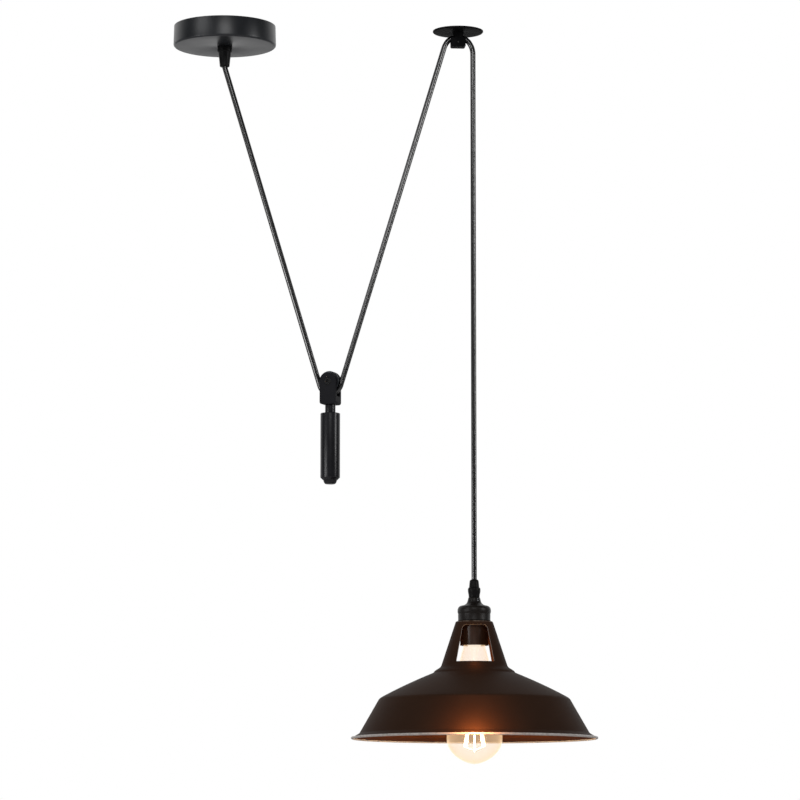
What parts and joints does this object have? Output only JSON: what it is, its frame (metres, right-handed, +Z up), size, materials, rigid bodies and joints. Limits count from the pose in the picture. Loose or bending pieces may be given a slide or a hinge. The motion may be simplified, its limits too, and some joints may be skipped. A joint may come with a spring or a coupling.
{
  "type": "rise and fall pendant",
  "caption": "Pendant lamp on a cord that runs over a ceiling guide and round the pulley of a bar counterweight, with a spun shade whose neck is pierced.",
  "frame": {"origin": "centre of the ceiling rose, on the ceiling", "axes": "+Z up into the ceiling, +X from the rose to the guide and the lamp, -Y towards the viewer"},
  "size_m": [0.4696, 0.2702, 0.817],
  "materials": {
    "rose_black": "satin black enamel",
    "guide_black": "satin black enamel",
    "weight_black": "satin black enamel",
    "holder_bronze": "dark bronze lacquer",
    "shade_black": "satin dark bronze-black paint on spun metal",
    "grip_black": "matt black",
    "pulley_dark": "burnished dark steel",
    "zinc_steel": "zinc-plated steel",
    "dark_steel": "blackened steel",
    "brass": "plain brass",
    "terminal_plastic": "natural moulded plastic",
    "lead_plastic": "insulated conductors",
    "cord_black": "smooth black cord jacket",
    "ceramic": "plain ceramic",
    "base_nickel": "nickel-plated",
    "insulator_black": "black vitreous insulator",
    "glass": "clear glass",
    "stem_glass": "clear glass",
    "support_wire": "drawn wire",
    "filament": "lit filament"
  },
  "bodies": {
    "ceiling": {"rose_cup": "rose_black", "rose_strap": "zinc_steel", "rose_side_screws": "dark_steel", "terminal_block": "terminal_plastic", "terminal_screws": "brass", "rose_grip": "grip_black", "rose_grip_nut": "zinc_steel", "rose_grip_screw": "dark_steel", "rose_cord_tail": "cord_black", "rose_leads": "lead_plastic", "guide_plate": "guide_black", "guide_housing": "guide_black", "guide_pin": "dark_steel", "cord_left": "cord_black", "cord_right": "cord_black", "cord_guide_bend": "cord_black", "cord_drop": "cord_black"},
    "guide_roller": {"guide_roller": "brass"},
    "counterweight": {"yoke": "weight_black", "pulley_washers": "zinc_steel", "axle_screw": "dark_steel", "weight_stem": "weight_black", "weight_bar": "weight_black", "weight_end_cap": "weight_black", "cord_weight_bend": "cord_black"},
    "weight_pulley": {"weight_pulley": "pulley_dark", "pulley_bush": "brass"},
    "lamp": {"lamp_grip": "grip_black", "lamp_grip_screw": "zinc_steel", "lamp_cord_tail": "cord_black", "lamp_leads": "lead_plastic", "holder_cap": "holder_bronze", "holder_skirt": "holder_bronze", "holder_core": "ceramic", "holder_screws": "brass", "socket_shell": "brass", "centre_contact": "brass", "shade_ring": "holder_bronze", "shade": "shade_black", "bulb_glass": "glass", "bulb_base": "base_nickel", "bulb_insulator": "insulator_black", "bulb_contact": "base_nickel", "bulb_stem": "stem_glass", "bulb_supports": "support_wire", "filaments": "filament"}
  },
  "joints": [
    {"name": "lamp_slide", "type": "slide", "parent": "ceiling", "child": "lamp", "axis": [0, 0, 1], "range_m": [-0.3, 0.23], "deforming": ["cord_drop"]},
    {"name": "weight_slide", "type": "slide", "parent": "ceiling", "child": "counterweight", "axis": [0, 0, 1], "range_m": [-0.125, 0.165], "deforming": ["cord_left", "cord_right"]},
    {"name": "pulley_spin", "type": "hinge", "parent": "counterweight", "child": "weight_pulley", "pos_m": [0.11859, 0, -0.3975], "axis": [0.4226, 0.9063, 0], "continuous": true},
    {"name": "roller_spin", "type": "hinge", "parent": "ceiling", "child": "guide_roller", "pos_m": [0.2608, 0, -0.01325], "axis": [0, 1, 0], "continuous": true}
  ],
  "couplings": [
    {"joint": "weight_slide", "follows": "lamp_slide", "ratio": -0.53},
    {"joint": "pulley_spin", "follows": "lamp_slide", "rad_per_m": 38.462},
    {"joint": "roller_spin", "follows": "lamp_slide", "rad_per_m": -434.78}
  ]
}
